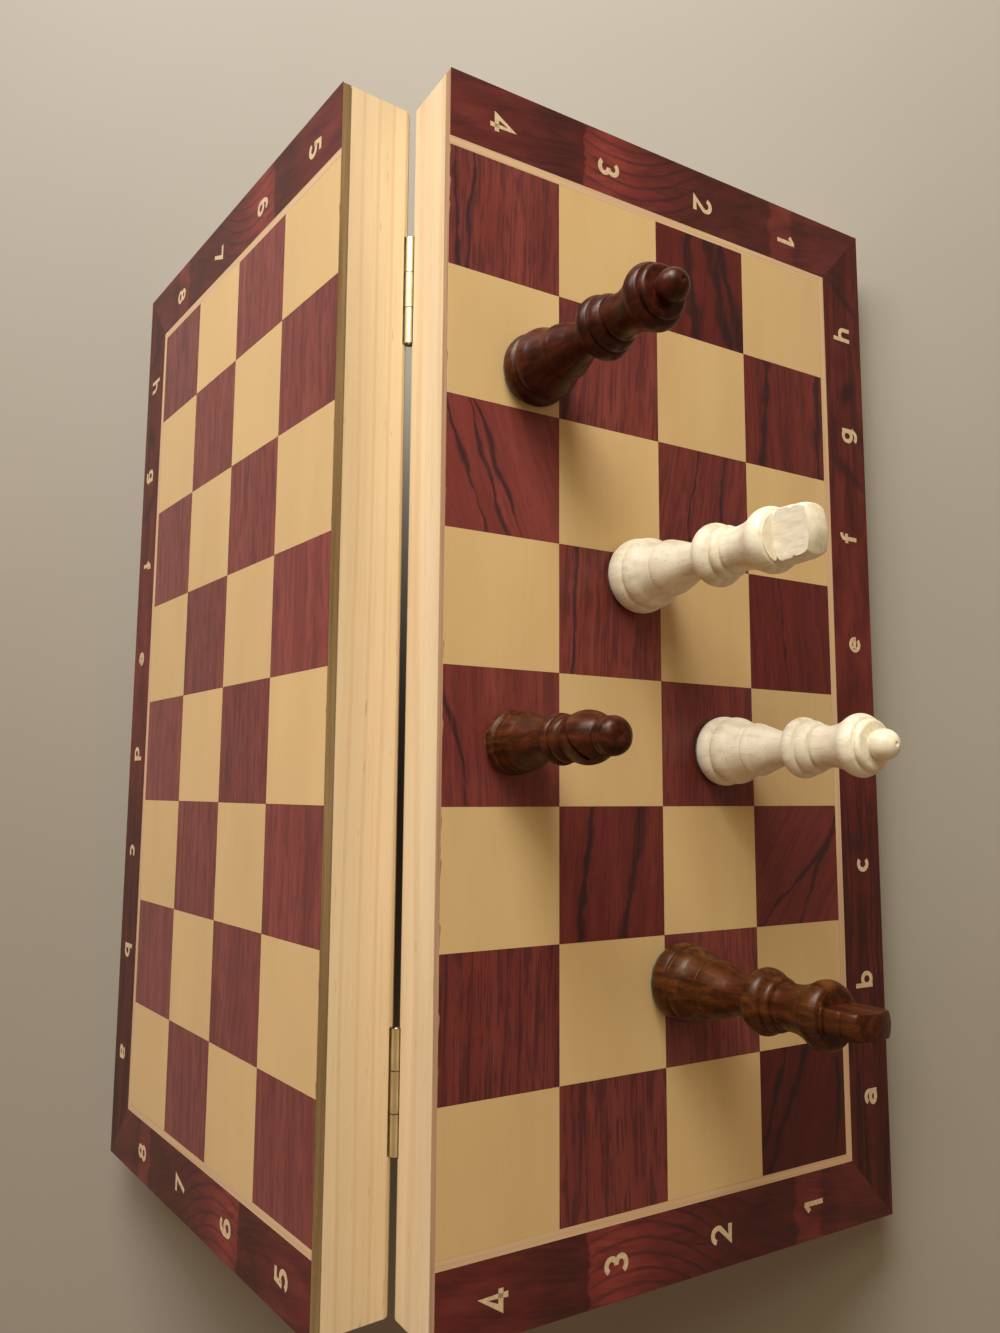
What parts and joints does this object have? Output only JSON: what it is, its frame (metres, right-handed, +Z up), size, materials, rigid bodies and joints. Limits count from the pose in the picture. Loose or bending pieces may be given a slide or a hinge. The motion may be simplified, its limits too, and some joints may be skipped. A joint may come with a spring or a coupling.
{
  "type": "folding chess set",
  "caption": "Hinged wooden magnetic chess box standing open as a tent, playing surfaces outward, with turned kings, queens and a bishop on one half.",
  "frame": {"origin": "on the floor, midway between the two front rims, under the middle of the hinge line", "axes": "+Z up, +Y along the hinge line towards the h-file, +X out towards the first rank"},
  "size_m": [0.3242, 0.39, 0.1863],
  "materials": {
    "veneer": "satin rosewood and maple look veneer",
    "pine": "clear satin lacquer on planed pine",
    "steel": "plain rolled sheet",
    "lining": "short black felt",
    "brass": "brass plated",
    "magnet": "nickel plated",
    "felt": "green felt",
    "dark_wood": "glossy brown stained and lacquered",
    "white_wood": "cream satin lacquer"
  },
  "bodies": {
    "right_half": {"playing_panel_right": "veneer", "steel_sheet_right": "steel", "felt_lining_right": "lining", "back_rail_right": "pine", "front_rail_right": "pine", "side_rail_h_right": "pine", "side_rail_a_right": "pine", "closure_magnet_right_h": "magnet", "hinge_leaf_right_h": "brass", "hinge_screw_right_h_1": "brass", "hinge_screw_right_h_2": "brass", "closure_magnet_right_a": "magnet", "hinge_leaf_right_a": "brass", "hinge_screw_right_a_1": "brass", "hinge_screw_right_a_2": "brass", "hinge_pin_h": "brass", "hinge_pin_a": "brass"},
    "left_half": {"playing_panel_left": "veneer", "steel_sheet_left": "steel", "felt_lining_left": "lining", "back_rail_left": "pine", "front_rail_left": "pine", "side_rail_h_left": "pine", "side_rail_a_left": "pine", "closure_magnet_left_h": "magnet", "hinge_leaf_left_h": "brass", "hinge_screw_left_h_1": "brass", "hinge_screw_left_h_2": "brass", "closure_magnet_left_a": "magnet", "hinge_leaf_left_a": "brass", "hinge_screw_left_a_1": "brass", "hinge_screw_left_a_2": "brass"},
    "dark_queen": {"dark_queen_body": "dark_wood", "dark_queen_magnet": "magnet", "dark_queen_felt": "felt"},
    "white_king": {"white_king_body": "white_wood", "white_king_magnet": "magnet", "white_king_felt": "felt"},
    "dark_bishop": {"dark_bishop_body": "dark_wood", "dark_bishop_magnet": "magnet", "dark_bishop_felt": "felt"},
    "white_queen": {"white_queen_body": "white_wood", "white_queen_magnet": "magnet", "white_queen_felt": "felt"},
    "dark_king": {"dark_king_body": "dark_wood", "dark_king_magnet": "magnet", "dark_king_felt": "felt"}
  },
  "joints": [
    {"name": "fold", "type": "hinge", "parent": "right_half", "child": "left_half", "pos_m": [0, 0, 0.13082], "axis": [0, 1, 0], "range_deg": [-95, 85]},
    {"name": "lift_dark_queen", "type": "slide", "parent": "right_half", "child": "dark_queen", "axis": [0.6756, 0, 0.7373], "range_m": [0, 0.16]},
    {"name": "lift_white_king", "type": "slide", "parent": "right_half", "child": "white_king", "axis": [0.6756, 0, 0.7373], "range_m": [0, 0.16]},
    {"name": "lift_dark_bishop", "type": "slide", "parent": "right_half", "child": "dark_bishop", "axis": [0.6756, 0, 0.7373], "range_m": [0, 0.16]},
    {"name": "lift_white_queen", "type": "slide", "parent": "right_half", "child": "white_queen", "axis": [0.6756, 0, 0.7373], "range_m": [0, 0.16]},
    {"name": "lift_dark_king", "type": "slide", "parent": "right_half", "child": "dark_king", "axis": [0.6756, 0, 0.7373], "range_m": [0, 0.16]}
  ]
}
